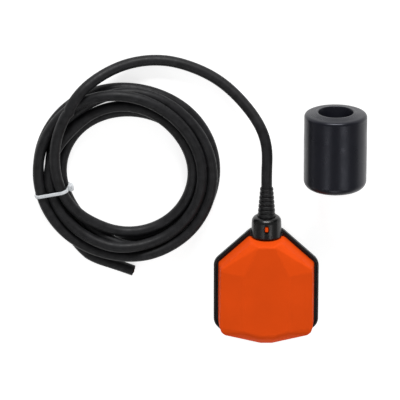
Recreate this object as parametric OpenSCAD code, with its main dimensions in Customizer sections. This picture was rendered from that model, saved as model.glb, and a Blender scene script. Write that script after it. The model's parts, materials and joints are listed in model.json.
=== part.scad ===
// Tethered cable float switch with its loose counterweight.
// The float lies on its back at the origin, front shell up, and its cable leaves along +Y,
// sweeps round to -X and lies in a flat coil. Millimetres, Z = 0 is the surface it all lies on.

/* [Float body] */
// Width across the black rim
rim_w = 80; // [76:1:90]
// Y of the tail end of the rim
tail_y = -47; // [-52:1:-45]
// Y at which the straight sides turn into the shoulders
shoulder_y = 19.3; // [17:0.1:21]
// Y at which the shoulders meet the collar
shoulder_top_y = 46; // [45:0.5:47]
// Width of the rim that shows round the front shell
rim_border = 4.6; // [4:0.1:5.5]
// Thickness of the float from back panel to front panel
float_t = 42; // [42:0.5:44]
// Depth of the sloping facets round each flat panel
facet_h = 7; // [5:0.5:8]
// Wall thickness of both shells
wall = 2.4; // [2:0.1:2.4]

/* [Cable] */
// Outer diameter of the rubber cable
cable_d = 8.2; // [7.4:0.1:8.4]
// Length of the ribbed boot beyond the collar
boot_len = 23.2; // [20:0.2:26]
// Ribs on the boot
boot_ribs = 6; // [4:1:7]
// Length of cable beyond the boot that bends when the float tilts
bend_len = 30; // [26:1:34]

/* [Coil] */
// Inner radius of the coil
coil_in_r = 46.4; // [44:0.2:48]
// Outer radius of the coil
coil_out_r = 70.9; // [69:0.1:72]
// Height of the coil, two to three cables deep
coil_h = 20.5; // [16.4:0.1:24.6]
// Direction from the coil's centre to the cable tie
tie_angle = 192; // [185:1:200]
// Length of the loose cut end
tail_len = 50; // [46:1:52]

/* [Counterweight] */
// Outer diameter of the counterweight
weight_d = 47.4; // [44:0.2:50]
// Length from the base to the raised mouth
weight_len = 60; // [56:1:64]
// Diameter of the conical mouth
mouth_d = 26.6; // [22:0.2:28]
// Diameter of the straight bore that the cable runs through
weight_bore_d = 9.6; // [9:0.1:10.4]

/* [Switch] */
// Diameter of the steel ball
ball_d = 18; // [16:0.5:18]
// How far the ball rolls between its two stops
ball_travel = 6.8; // [6:0.1:6.8]

/* [Hidden] */
$fn = 64;
eps = 0.02;

// float: levels and places
axis_z = float_t / 2;
wall_top_z = 18;
rim_low_z = 17;
rim_top_z = 22;
seal_t = 1;
body_end_y = 39.2;
draft = 0.8;
corner_r = 3;
rim_corner_r = 7;
cavity_floor = wall;

// collar, neck and gland
neck_r = 8.6;
neck_end_y = 48;
gland_r = 6.2;
gland_floor_y = 38.8;
collar_y0 = 39.7;
collar_y1 = 54.1;
collar_low_r = 11.7;
collar_top_r = 11;
collar_in_r = 10.2;
collar_end_t = 2.8;
collar_fillet = 3.5;
pocket_r = 12;
window_y = 48.15;
window_l = 4.8;
window_w = 3.2;
tongue_w = 2.8;
cable_r = cable_d / 2;
boot_base_r = 6.5;
boot_tip_r = 4.8;
boot_flange_r = 8.5;
boot_end_y = collar_y1 + boot_len;
bend_end_y = boot_end_y + bend_len;
cable_end_y = 31;

// switch mechanism: the chassis plate, ball, lever and microswitch
plate_z0 = 6;
plate_t = 2;
plate_z1 = plate_z0 + plate_t;
boss_at = [[10, -20], [-10, -20], [10, 10], [-10, 10]];
screw_r = 1.2;
head_r = 2.6;
head_h = 1.6;
ball_rest_y = -22.3;
ball_gap = 0.3;
cage_in_r = ball_d / 2 + ball_gap;
cage_out_r = cage_in_r + 2;
cage_y0 = -33.6;
cage_y1 = -14.2;
pivot_y = -6;
pivot_z = axis_z + 13.5;
lever_rest_angle = -12;
lever_half_w = 4.5;
pin_r = 1.25;
pin_clearance = 0.05;
lobe_r = 3.2;
lobe_drop = 3;
ear_x0 = 5.15;
ear_x1 = 7.15;

micro_x = 5.15;
micro_y0 = -1;
micro_y1 = 14.9;
micro_z0 = 11.5;
micro_z1 = 39.3;
micro_wall = 1.5;
micro_cover_x = -3.65;
micro_screw_at = [[1.4, 18.5], [12, 31]];
micro_screw_r = 1.5;
plunger_r = 1.5;
plunger_z = pivot_z - 2.9;
plunger_y0 = -3.3;
plunger_y1 = 3.85;
blade_y = 4;
blade_t = 0.4;
blade_foot_z = 15.8;
contact_z = 35;
contact_r = 1.4;
contact_t = 0.7;
terminal_t = 0.8;
terminal_half_w = 2.4;
terminal_end_y = 21;
common_z = 14.6;
open_z = 25;
closed_z = 36.9;
wire_r = 1.15;
core_offset = 2.1;

// free cable: route of the lead from the end of the bend to the top of the coil
coil_at = [-106, 87];
lead_route = [[0, bend_end_y, axis_z], [-2.5, 119.5, 19.5], [-8.5, 131, 15.5], [-17.5, 142, 11],
    [-28, 152, 7.2], [-40, 160.5, 4.8], [-58, 169, 4.1], [-76, 173.5, 4.1], [-93, 173.5, 5],
    [-110, 170.5, 9], [-126, 164, 14], [-140, 154.5, 19.5], [-150, 141.5, 21], [-157, 126, 20],
    [-160, 110, 16.4]];
lead_sides = 10;
tail_start = [-146.2, 26.6, cable_r];
tail_heading = -26;
core_r = 1.3;
copper_r = 0.65;
core_ring_r = 1.75;
tie_w = 2.4;
tie_t = 1.1;
tie_head = [5, 4.6, 3.6];

// counterweight: it lies on its side with its axis along Y
weight_at = [51.4, 79.5, weight_d / 2];
weight_wall = 2.4;
weight_lip = 1.6;
weight_cap_len = 7;
weight_base_fillet = 6.5;
weight_edge_fillet = 2.2;
cone_depth = 32;

// ---------- helpers ----------

// Closed outline from its right half, mirrored about the Y axis
function mirrored(half) = concat(half, [for (i = [len(half) - 1:-1:0]) [-half[i][0], half[i][1]]]);

function unit(v) = v / norm(v);

// Cylinder along Y
module ycyl(r, y0, y1, x = 0, z = axis_z)
    translate([x, y0, z]) rotate([-90, 0, 0]) cylinder(r = r, h = y1 - y0);

// Cylinder along X
module xcyl(r, x0, x1, y, z)
    translate([x0, y, z]) rotate([0, 90, 0]) cylinder(r = r, h = x1 - x0);

// Profile (radius, distance) turned about an axis along Y
module yspin(y0 = 0, x = 0, z = axis_z)
    translate([x, y0, z]) rotate([-90, 0, 0]) rotate_extrude() children();

// Box between two corners
module block(low, high) translate(low) cube(high - low);

// Thin slice of an outline at height z
module slab(z, t = eps) translate([0, 0, z]) linear_extrude(t) children();

// Direction of a route at its i-th point; it sets out along first
function heading(route, i, first) =
    i == 0 ? first : unit(route[min(i + 1, len(route) - 1)] - route[i - 1]);

// Ring of points round the route, square to its direction
function ring(centre, dir, r, sides, across) =
    let (side = unit(cross(dir, across)), up = cross(side, dir))
        [for (k = [0:sides - 1]) centre + r * (cos(360 * k / sides) * side + sin(360 * k / sides) * up)];

// Tube of radius r along a route that never runs parallel to the direction across
module swept_tube(route, r, sides, first = [0, 1, 0], across = [0, 0, 1]) {
    count = len(route);
    points = [for (i = [0:count - 1]) each ring(route[i], heading(route, i, first), r, sides, across)];
    skin = [for (i = [0:count - 2], k = [0:sides - 1])
        let (next = (k + 1) % sides)
            [i * sides + k, (i + 1) * sides + k, (i + 1) * sides + next, i * sides + next]];
    start = [for (k = [0:sides - 1]) k];
    finish = [for (k = [sides - 1:-1:0]) (count - 1) * sides + k];
    polyhedron(points, concat([start, finish], skin), convexity = 6);
}

// ---------- float outlines ----------

rim_half = [[6.5, tail_y], [31.2, tail_y + 6.2], [rim_w / 2, tail_y + 15.4],
    [rim_w / 2, shoulder_y], [11.2, shoulder_top_y]];
panel_half = [[5, tail_y + 12.5], [17.2, tail_y + 16.2], [17.2, shoulder_y - 5.5], [7, 37.5]];

module rim_outline() offset(r = rim_corner_r) offset(delta = -rim_corner_r) polygon(mirrored(rim_half));

module foot_outline(inset = 0)
    offset(r = corner_r) offset(delta = -corner_r - inset)
        intersection() {
            offset(delta = -rim_border) polygon(mirrored(rim_half));
            translate([-rim_w, body_end_y - 2 * rim_w]) square(2 * rim_w);
        }

module panel_outline(inset = 0) offset(delta = -inset) polygon(mirrored(panel_half));

// Half of the float's body with its flat panel at z = 0 and its foot at foot_z
module body_form(foot_z, inset = 0) {
    hull() {
        slab(inset) panel_outline(inset * 0.4);
        slab(facet_h + inset * 0.35) foot_outline(draft + inset);
        slab(foot_z - eps) foot_outline(inset);
    }
}

module front_place() translate([0, 0, float_t]) mirror([0, 0, 1]) children();

module collar_pocket() ycyl(pocket_r, body_end_y + 0.3, collar_y1);

// ---------- float shells ----------

module front_shell() {
    front_foot = float_t - wall_top_z - seal_t;
    color("orangered") {
        difference() {
            front_place() body_form(front_foot);
            front_place() body_form(front_foot + eps, wall);
            collar_pocket();
            ycyl(neck_r, 30, neck_end_y);
        }
        latch_tongue();
    }
}

// Springy tongue of the front shell that snaps into the collar's window
module latch_tongue() {
    tongue_z0 = axis_z + neck_r + 0.1;
    tongue_z1 = tongue_z0 + 1.3;
    block([-tongue_w / 2, body_end_y - wall, tongue_z0], [tongue_w / 2, 50.3, tongue_z1]);
    block([-tongue_w / 2 + 0.05, 46, tongue_z1 - eps], [tongue_w / 2 - 0.05, 50.3, axis_z + 11.1]);
}

module rear_shell() {
    color([0.11, 0.11, 0.11])
        difference() {
            union() {
                difference() {
                    union() {
                        body_form(wall_top_z);
                        slab(rim_low_z, rim_top_z - rim_low_z) rim_outline();
                    }
                    body_form(wall_top_z + eps, cavity_floor);
                    slab(wall_top_z, rim_top_z) foot_outline();
                    collar_pocket();
                }
                ycyl(neck_r, body_end_y - wall, neck_end_y);
                for (p = boss_at)
                    translate([p[0], p[1], cavity_floor - eps]) cylinder(r = 3.2, h = plate_z0 - cavity_floor + eps);
            }
            ycyl(gland_r, gland_floor_y, neck_end_y + 1);
            ycyl(cable_r + 0.3, body_end_y - wall - 1, gland_floor_y + 1);
            for (p = boss_at)
                translate([p[0], p[1], plate_z0 - 3]) cylinder(r = screw_r, h = 4);
        }
}

module rim_seal()
    color([0.2, 0.2, 0.2])
        difference() {
            slab(wall_top_z, seal_t) foot_outline();
            slab(wall_top_z - 1, seal_t + 2) foot_outline(wall);
            ycyl(neck_r, 30, neck_end_y);
        }

// ---------- collar, boot and gland ----------

module collar_cap() {
    length = collar_y1 - collar_y0;
    color([0.09, 0.09, 0.09])
        difference() {
            yspin(collar_y0) {
                polygon([[collar_in_r, 0], [collar_low_r, 0], [collar_top_r, length - collar_fillet],
                    [collar_in_r, length - collar_fillet]]);
                intersection() {
                    translate([0, length - collar_end_t - collar_fillet])
                        square([collar_top_r, collar_end_t + collar_fillet]);
                    union() {
                        square([collar_top_r, length - collar_fillet]);
                        square([collar_top_r - collar_fillet, length]);
                        translate([collar_top_r - collar_fillet, length - collar_fillet])
                            circle(r = collar_fillet);
                    }
                }
            }
            ycyl(collar_in_r, collar_y0 - 1, collar_y1 - collar_end_t);
            ycyl(boot_base_r + 0.1, collar_y0, collar_y1 + 1);
            block([-window_w / 2, window_y - window_l / 2, axis_z + 8],
                [window_w / 2, window_y + window_l / 2, axis_z + 13]);
        }
}

// Radius of the boot's taper at a distance beyond the collar
function boot_r(d) = boot_base_r + (boot_tip_r - boot_base_r) * d / boot_len;

module cable_boot() {
    pitch = boot_len / (boot_ribs + 0.7);
    groove_w = pitch * 0.38;
    groove_d = 0.8;
    flange_y = neck_end_y + 0.05;
    base = collar_y1 - flange_y;
    color([0.13, 0.13, 0.13])
        yspin(flange_y)
            difference() {
                polygon([[cable_r, 0], [boot_flange_r, 0], [boot_flange_r, base - collar_end_t],
                    [boot_base_r, base - collar_end_t], [boot_base_r, base],
                    [boot_tip_r, base + boot_len], [cable_r, base + boot_len]]);
                for (i = [0:boot_ribs - 1])
                    let (d = pitch * (i + 0.75), r = min(groove_d, boot_r(d) - cable_r - 0.3))
                        translate([boot_r(d) - r, base + d]) square([r + 1, groove_w]);
            }
}

module gland_seal()
    color([0.16, 0.16, 0.16])
        yspin(gland_floor_y)
            difference() {
                translate([cable_r, 0]) square([gland_r - cable_r, 7]);
                for (d = [1.8, 4.2])
                    translate([gland_r - 0.5, d]) square([1, 1]);
            }

module gland_washer()
    color([0.75, 0.75, 0.72])
        yspin(gland_floor_y + 7)
            translate([cable_r + 0.1, 0]) square([gland_r - cable_r - 0.15, neck_end_y - gland_floor_y - 7]);

module cord_inner() color([0.12, 0.12, 0.12]) ycyl(cable_r, cable_end_y, boot_end_y);

// ---------- switch mechanism ----------

module switch_chassis() {
    clamp_y0 = 31.5;
    clamp_y1 = 35.5;
    color([0.85, 0.84, 0.8])
        difference() {
            union() {
                block([-13, -31, plate_z0], [13, 16, plate_z1]);
                block([-8.5, 15, plate_z0], [8.5, clamp_y1, plate_z1]);
                block([ear_x0, -10, plate_z1 - eps], [ear_x1, micro_y1, pivot_z + 3.5]);
                block([-ear_x1, -10, plate_z1 - eps], [-ear_x0, -2, pivot_z + 3.5]);
                block([-8.5, clamp_y0, plate_z1 - eps], [8.5, clamp_y1, axis_z]);
                block([-4, 8, plate_z1 - eps], [4, micro_y1, micro_z0]);
            }
            for (p = boss_at)
                translate([p[0], p[1], 0]) cylinder(r = screw_r + 0.2, h = plate_z1 + 1);
            xcyl(pin_r, -10, 10, pivot_y, pivot_z);
            for (p = micro_screw_at)
                xcyl(micro_screw_r, 4, 10, p[0], p[1]);
            ycyl(cable_r, clamp_y0 - 1, clamp_y1 + 1);
            translate([0, ball_rest_y + ball_travel, axis_z]) sphere(r = ball_d / 2 + ball_gap);
            for (x = [-6.3, 6.3])
                translate([x, (clamp_y0 + clamp_y1) / 2, axis_z - 8]) cylinder(r = screw_r, h = 9);
        }
}

module chassis_screws()
    color("silver")
        for (p = boss_at)
            translate([p[0], p[1], plate_z0 - 3]) {
                cylinder(r = screw_r, h = 3 + plate_t);
                translate([0, 0, 3 + plate_t]) pan_head(head_r, head_h);
            }

// Round screw head with a cross recess, standing on z = 0
module pan_head(r, h)
    difference() {
        cylinder(r = r, h = h);
        for (a = [0, 90])
            rotate(a) translate([-r * 0.6, -0.25, h * 0.45]) cube([r * 1.2, 0.5, h]);
    }

module cable_clamp()
    color([0.8, 0.79, 0.75])
        difference() {
            block([-8.5, 31.5, axis_z], [8.5, 35.5, axis_z + 6]);
            ycyl(cable_r, 30, 37);
            for (x = [-6.3, 6.3])
                translate([x, 33.5, axis_z - 1]) cylinder(r = screw_r, h = 9);
        }

module clamp_screws()
    color("silver")
        for (x = [-6.3, 6.3])
            translate([x, 33.5, axis_z - 8]) {
                cylinder(r = screw_r, h = 14);
                translate([0, 0, 14]) pan_head(2.1, 1.4);
            }

module ball_cage()
    color([0.78, 0.8, 0.82])
        difference() {
            union() {
                ycyl(cage_out_r, cage_y0, cage_y1);
                block([-7, -30.5, plate_z1], [7, -17, axis_z - 8]);
            }
            ycyl(cage_in_r, cage_y0 + 2, cage_y1 + 1);
        }

module steel_ball() color("lightsteelblue") translate([0, ball_rest_y, axis_z]) sphere(r = ball_d / 2);

module rocker_lever()
    color([0.9, 0.75, 0.3])
        translate([0, pivot_y, pivot_z]) rotate([lever_rest_angle, 0, 0])
            difference() {
                union() {
                    xcyl(2.9, -lever_half_w, lever_half_w, 0, 0);
                    xcyl(lobe_r, -lever_half_w, lever_half_w, 0, -lobe_drop);
                    block([-lever_half_w, -4, -18], [lever_half_w, -1.5, 1.5]);
                }
                xcyl(pin_r + pin_clearance, -lever_half_w - 1, lever_half_w + 1, 0, 0);
            }

module lever_pin() color("silver") xcyl(pin_r, -ear_x1, ear_x1, pivot_y, pivot_z);

module microswitch_case()
    color([0.25, 0.25, 0.28])
        difference() {
            union() {
                difference() {
                    block([micro_cover_x, micro_y0, micro_z0], [micro_x, micro_y1, micro_z1]);
                    block([micro_cover_x - 1, micro_y0 + micro_wall, micro_z0 + micro_wall],
                        [micro_x - micro_wall, micro_y1 - micro_wall, micro_z1 - micro_wall]);
                }
                for (p = micro_screw_at)
                    xcyl(2.3, micro_cover_x, micro_x - 1, p[0], p[1]);
            }
            for (p = micro_screw_at)
                xcyl(micro_screw_r, -10, 10, p[0], p[1]);
            ycyl(plunger_r + pin_clearance, micro_y0 - 1, micro_y0 + micro_wall + 1, z = plunger_z);
            for (z = [common_z, open_z, closed_z])
                terminal_strip(z, micro_y1 - micro_wall - 1);
        }

module microswitch_cover()
    color([0.3, 0.3, 0.34])
        difference() {
            block([-micro_x, micro_y0, micro_z0], [micro_cover_x, micro_y1, micro_z1]);
            for (p = micro_screw_at)
                xcyl(micro_screw_r, -10, 10, p[0], p[1]);
        }

module microswitch_screws()
    color("silver")
        for (p = micro_screw_at)
            translate([-micro_x, p[0], p[1]]) {
                rotate([0, 90, 0]) cylinder(r = micro_screw_r, h = micro_x + ear_x1);
                rotate([0, -90, 0]) pan_head(2.6, 1.6);
            }

module switch_plunger()
    color([0.8, 0.15, 0.1]) {
        ycyl(plunger_r, plunger_y0, plunger_y1, z = plunger_z);
        ycyl(1.9, 0.7, 1.6, z = plunger_z);
    }

module contact_blade()
    color([0.85, 0.55, 0.3]) {
        block([-2.2, blade_y, blade_foot_z], [2.2, blade_y + blade_t, contact_z + 1.4]);
        ycyl(contact_r, blade_y - contact_t, blade_y + blade_t + contact_t, z = contact_z);
    }

// Flat brass strip that leaves through the back of the microswitch
module terminal_strip(z, y0)
    block([-terminal_half_w, y0, z], [terminal_half_w, terminal_end_y, z + terminal_t]);

module terminal_common() color("goldenrod") terminal_strip(common_z, 3.2);

module terminal_open() {
    face_y = blade_y + blade_t + contact_t + 2.1;
    color("goldenrod") {
        ycyl(contact_r, face_y, face_y + 1.2, z = contact_z);
        block([-terminal_half_w, face_y + 1.2 - eps, open_z],
            [terminal_half_w, face_y + 1.2 + terminal_t, contact_z + contact_r]);
        terminal_strip(open_z, face_y + 1.2);
    }
}

module terminal_closed() {
    face_y = blade_y - contact_t - 0.15;
    color("goldenrod") {
        ycyl(contact_r - 0.2, 1.5, face_y, z = contact_z);
        block([-terminal_half_w, 0.7, contact_z - 1.2], [terminal_half_w, 1.5 + eps, closed_z + terminal_t]);
        terminal_strip(closed_z, 0.7);
    }
}

// Insulated conductor from the cable's end, by way of two points, squarely onto a terminal's end
module wire(angle, via, terminal_z)
    swept_tube(concat([[core_offset * cos(angle), cable_end_y, axis_z + core_offset * sin(angle)]], via,
        [for (d = [1.6, 0]) [0, terminal_end_y + d, terminal_z + terminal_t / 2]]),
        wire_r, 8, [0, -1, 0], [1, 0, 0]);

module wire_brown() color("saddlebrown") wire(90, [[0, 29, 24.5], [0, 25.5, 33]], closed_z);
module wire_blue() color("royalblue") wire(-30, [[1.8, 28, 20.5], [1.2, 24.5, 23.5]], open_z);
module wire_black() color([0.15, 0.15, 0.15]) wire(210, [[-1.8, 28, 19], [-1.2, 24.5, 16]], common_z);

// ---------- free cable ----------

module cord_bend() color([0.12, 0.12, 0.12]) ycyl(cable_r, boot_end_y, bend_end_y);

module cord_lead() color([0.12, 0.12, 0.12]) swept_tube(lead_route, cable_r, lead_sides);

// Section of the coil: an oblong with cable-sized round corners
module coil_section(grow = 0) {
    w = coil_out_r - coil_in_r;
    r = cable_r + grow;
    for (x = [cable_r, w - cable_r], y = [cable_r, coil_h - cable_r])
        translate([x, y]) circle(r = r);
    translate([-grow, cable_r]) square([w + 2 * grow, coil_h - cable_d]);
    translate([cable_r, -grow]) square([w - cable_d, coil_h + 2 * grow]);
}

// Places its children where the tie goes round the coil: X outwards, Y up, Z along the cable
module tie_place()
    translate([coil_at[0], coil_at[1], 0]) rotate(tie_angle)
        translate([coil_in_r, 0, 0]) rotate([90, 0, 0]) children();

module cord_coil()
    color([0.12, 0.12, 0.12])
        difference() {
            translate([coil_at[0], coil_at[1], 0])
                rotate_extrude() translate([coil_in_r, 0]) coil_section();
            tie_place()
                translate([0, 0, -tie_w / 2 - 0.1]) linear_extrude(tie_w + 0.2)
                    square([coil_out_r - coil_in_r, tie_t + 0.1]);
        }

// Cable tie round the coil; under the coil its strap lies in the hollow between cable and floor
module cord_tie()
    color([0.85, 0.87, 0.86])
        tie_place() {
            intersection() {
                translate([0, 0, -tie_w / 2]) linear_extrude(tie_w)
                    union() {
                        difference() {
                            coil_section(tie_t + 0.1);
                            coil_section(0.1);
                        }
                        translate([tie_t, 0]) square([coil_out_r - coil_in_r - 2 * tie_t, tie_t]);
                    }
                translate([-20, 0, -10]) cube([80, 40, 20]);
            }
            translate([-tie_t - tie_head[2], coil_h / 2 - tie_head[0] / 2, -tie_head[1] / 2])
                cube([tie_head[2], tie_head[0], tie_head[1]]);
        }

// Places its children along the cut end: Z runs towards the cut
module tail_place() translate(tail_start) rotate(tail_heading) rotate([0, 90, 0]) children();

module each_core() for (a = [90, 210, 330]) rotate(a) translate([core_ring_r, 0, 0]) children();

module cord_tail()
    color([0.12, 0.12, 0.12])
        tail_place() difference() {
            cylinder(r = cable_r, h = tail_len);
            each_core() translate([0, 0, tail_len - 20]) cylinder(r = core_r, h = 21);
        }

module tail_cores()
    color([0.45, 0.3, 0.2])
        tail_place() each_core() translate([0, 0, tail_len - 20])
            difference() {
                cylinder(r = core_r, h = 20);
                cylinder(r = copper_r, h = 21);
            }

module tail_copper()
    color([0.85, 0.5, 0.3])
        tail_place() each_core() translate([0, 0, tail_len - 20]) cylinder(r = copper_r, h = 20);

// ---------- counterweight ----------

module weight_spin() yspin(weight_at[1], weight_at[0], weight_at[2]) children();

bore_r = weight_bore_d / 2;
tube_r = bore_r + weight_wall;
outer_r = weight_d / 2;
edge_y = weight_len - weight_lip;
cone_y = weight_len - cone_depth;
mouth_r = mouth_d / 2;

module weight_shell()
    color([0.15, 0.15, 0.17])
        weight_spin()
            difference() {
                union() {
                    translate([0, weight_cap_len]) square([outer_r, edge_y - weight_edge_fillet - weight_cap_len]);
                    square([outer_r - weight_edge_fillet, edge_y]);
                    polygon([[0, edge_y - 1], [outer_r - weight_edge_fillet, edge_y],
                        [mouth_r + 1.2, weight_len], [0, weight_len]]);
                    translate([outer_r - weight_edge_fillet, edge_y - weight_edge_fillet])
                        circle(r = weight_edge_fillet);
                }
                polygon([[0, -1], [bore_r, -1], [bore_r, cone_y], [mouth_r, weight_len],
                    [mouth_r, weight_len + 1], [0, weight_len + 1]]);
                weight_pocket();
                translate([tube_r, -1]) square([outer_r, weight_cap_len + 1]);
            }

// Hollow of the counterweight's shell, which the iron core fills
module weight_pocket()
    polygon([[tube_r, weight_cap_len], [outer_r - weight_wall, weight_cap_len],
        [outer_r - weight_wall, edge_y - weight_wall - 0.6], [mouth_r + 1.6, edge_y - weight_wall - 0.6],
        [tube_r, cone_y]]);

module weight_core() color([0.4, 0.38, 0.36]) weight_spin() weight_pocket();

module weight_base()
    color([0.13, 0.13, 0.15])
        weight_spin()
            difference() {
                union() {
                    square([outer_r - weight_base_fillet, weight_cap_len]);
                    translate([0, weight_base_fillet]) square([outer_r, weight_cap_len - weight_base_fillet]);
                    translate([outer_r - weight_base_fillet, weight_base_fillet])
                        circle(r = weight_base_fillet);
                }
                translate([-1, -1]) square([tube_r + 1, weight_cap_len + 2]);
                translate([0, weight_cap_len]) square([outer_r + 1, outer_r]);
            }

// ---------- parts ----------

front_shell();
rear_shell();
rim_seal();
collar_cap();
cable_boot();
gland_seal();
gland_washer();
switch_chassis();
chassis_screws();
cable_clamp();
clamp_screws();
ball_cage();
steel_ball();
rocker_lever();
lever_pin();
microswitch_case();
microswitch_cover();
microswitch_screws();
switch_plunger();
contact_blade();
terminal_common();
terminal_open();
terminal_closed();
wire_brown();
wire_blue();
wire_black();
cord_inner();
cord_bend();
cord_lead();
cord_coil();
cord_tail();
tail_cores();
tail_copper();
cord_tie();
weight_shell();
weight_core();
weight_base();
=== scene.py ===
"""Looks of the cable float switch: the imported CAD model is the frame, and these pieces ride on it."""

import json
import math

import bmesh
import bpy
import numpy as np
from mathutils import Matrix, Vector


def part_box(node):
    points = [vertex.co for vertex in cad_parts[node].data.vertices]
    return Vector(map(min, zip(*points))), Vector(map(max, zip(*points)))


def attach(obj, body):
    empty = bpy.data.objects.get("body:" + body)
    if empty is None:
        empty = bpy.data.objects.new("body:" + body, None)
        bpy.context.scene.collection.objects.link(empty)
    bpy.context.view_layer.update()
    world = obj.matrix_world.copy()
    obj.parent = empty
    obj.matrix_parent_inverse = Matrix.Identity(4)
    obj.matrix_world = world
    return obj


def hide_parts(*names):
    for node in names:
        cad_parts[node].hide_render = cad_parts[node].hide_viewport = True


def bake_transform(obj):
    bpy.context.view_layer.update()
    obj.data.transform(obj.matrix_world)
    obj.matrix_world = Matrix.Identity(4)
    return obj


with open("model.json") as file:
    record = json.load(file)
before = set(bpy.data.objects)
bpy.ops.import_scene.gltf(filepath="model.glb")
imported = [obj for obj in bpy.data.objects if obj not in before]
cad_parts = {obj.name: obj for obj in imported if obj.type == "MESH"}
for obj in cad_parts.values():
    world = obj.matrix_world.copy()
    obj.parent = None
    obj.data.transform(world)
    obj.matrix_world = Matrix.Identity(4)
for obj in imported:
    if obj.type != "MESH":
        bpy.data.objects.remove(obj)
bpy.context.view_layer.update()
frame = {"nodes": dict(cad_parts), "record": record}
MM = 0.001
NODES = frame["nodes"]


# ---------- measures taken from the frame ----------

def box_mm(node):
    """Lowest and highest corner of a CAD node in millimetres."""
    low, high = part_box(node)
    return np.array(low) / MM, np.array(high) / MM


REAR_LOW, REAR_HIGH = box_mm("rear_shell")
FRONT_HIGH = box_mm("front_shell")[1]
COLLAR_LOW, COLLAR_HIGH = box_mm("collar_cap")
BOOT_LOW = box_mm("cable_boot")[0]
COIL_LOW, COIL_HIGH = box_mm("cord_coil")
BEND_LOW, BEND_HIGH = box_mm("cord_bend")
WEIGHT_LOW, WEIGHT_HIGH = box_mm("weight_shell")
BASE_LOW = box_mm("weight_base")[0]

CABLE_R = (BEND_HIGH[0] - BEND_LOW[0]) / 2
CABLE_D = 2 * CABLE_R
AXIS_Z = (BEND_HIGH[2] + BEND_LOW[2]) / 2
BOOT_END_Y = BEND_LOW[1]
COIL_CENTRE = (COIL_LOW[:2] + COIL_HIGH[:2]) / 2
COIL_OUT_R = (COIL_HIGH[0] - COIL_LOW[0]) / 2


# ---------- camera ----------

def make_camera():
    """A long lens that looks down at the float, 20 degrees off the vertical, from beyond its cable."""
    tilt = math.radians(20)
    distance = 3.0
    field = 0.3032
    target = Vector((-0.0504, 0.0661, 0.015))
    data = bpy.data.cameras.new("camera")
    data.sensor_width = 36
    data.lens = data.sensor_width * distance / field
    data.clip_end = 20
    camera = bpy.data.objects.new("camera", data)
    camera.location = target + distance * Vector((0, math.sin(tilt), math.cos(tilt)))
    camera.rotation_euler = (-tilt, 0, 0)
    bpy.context.scene.collection.objects.link(camera)
    bpy.context.scene.camera = camera


make_camera()


# ---------- the cable's route, in millimetres ----------

# Length of the piece of cable at the boot, where the real cable bends when the float swings; here it is a
# fixed tube made apart from the rest of the cord
BEND_PIECE_LEN = 25
# Straight stretch out of the boot, then the points that the lead passes on its way to the coil
STRAIGHT_LEN = 15
LEAD = [(0, 107.3, 21), (-2.5, 119.5, 19.5), (-8.5, 131, 15.5), (-17.5, 142, 11), (-28, 152, 7.2),
        (-40, 160.5, 4.8), (-58, 169, 4.1), (-76, 173.5, 4.1), (-93, 173.5, 5), (-110, 170.5, 9),
        (-126, 164, 14), (-140, 154.5, 19.5), (-150, 141.5, 21)]
# Radius and height of the cable in each turn of the coil, at every eighth of a circle
FIRST_ANGLE = 180
ANGLE_STEP = 45
TURNS = [
    [(54.9, 17.5), (51.2, 13.5), (50.4, 12.3), (50.8, 12.3),
     (51, 12.3), (50, 12.3), (53.6, 10.5), (58.6, 9)],
    [(59.6, 12.3), (58.8, 12.3), (58.2, 12.3), (58.8, 14),
     (58.6, 17), (58.8, 18.5), (64, 18), (67.4, 15)],
    [(66.6, 12.3), (66.4, 12.3), (66.4, 9), (66.8, 11),
     (64.4, 12.3), (62.8, 12.3), (65.4, 11.5), (63, 9)],
    [(59, 4.1), (58.8, 4.1), (58.8, 4.1), (58.4, 4.1),
     (54.5, 4.1), (49.5, 4.1), (46.8, 4.1), (48.2, 4.1)],
    [(51, 4.1), (54, 7), (60, 10), (65.5, 6),
     (66.4, 4.1), (65.4, 4.1), (64.2, 4.1), (66, 4.1)],
    [(66, 4.1), (66.4, 4.1)],
]
# Where the cable leaves the coil on the floor, and its cut end
CUT_END = [(-134, 17.4, 4.1), (-118, 10.8, 4.1), (-101.3, 4.7, 4.1)]
STEP = 2.5
# The cable tie: its place round the coil in degrees, its thickness and its width
TIE_ANGLE = 195
STRAP_T = 1.1
STRAP_W = 2.4


def spline(points, step):
    """Points about a step apart on the natural cubic spline through these points."""
    y = np.array(points, float)
    x = np.concatenate([[0], np.cumsum(np.linalg.norm(np.diff(y, axis=0), axis=1))])
    n = len(x)
    h = np.diff(x)
    a = np.eye(n)
    b = np.zeros((n, 3))
    for i in range(1, n - 1):
        a[i, i - 1:i + 2] = h[i - 1], 2 * (h[i - 1] + h[i]), h[i]
        b[i] = 6 * ((y[i + 1] - y[i]) / h[i] - (y[i] - y[i - 1]) / h[i - 1])
    m = np.linalg.solve(a, b)
    q = np.linspace(0, x[-1], int(round(x[-1] / step)) + 1)
    i = np.clip(np.searchsorted(x, q) - 1, 0, n - 2)
    left = (q - x[i])[:, None]
    right = (x[i + 1] - q)[:, None]
    span = h[i][:, None]
    curved = (m[i] * right ** 3 + m[i + 1] * left ** 3) / (6 * span)
    from_right = (y[i] / span - m[i] * span / 6) * right
    from_left = (y[i + 1] / span - m[i + 1] * span / 6) * left
    return curved + from_right + from_left


def planned_route():
    """The cable from the boot to its cut end, as the turns are planned."""
    points = [(0, BOOT_END_Y, AXIS_Z), (0, BOOT_END_Y + STRAIGHT_LEN, AXIS_Z)] + LEAD
    centre_x, centre_y = COIL_CENTRE
    places = [place for turn in TURNS for place in turn]
    for i, (radius, height) in enumerate(places):
        angle = math.radians(FIRST_ANGLE + ANGLE_STEP * i)
        points.append((centre_x + radius * math.cos(angle), centre_y + radius * math.sin(angle), height))
    return spline(points + CUT_END, STEP)


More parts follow.
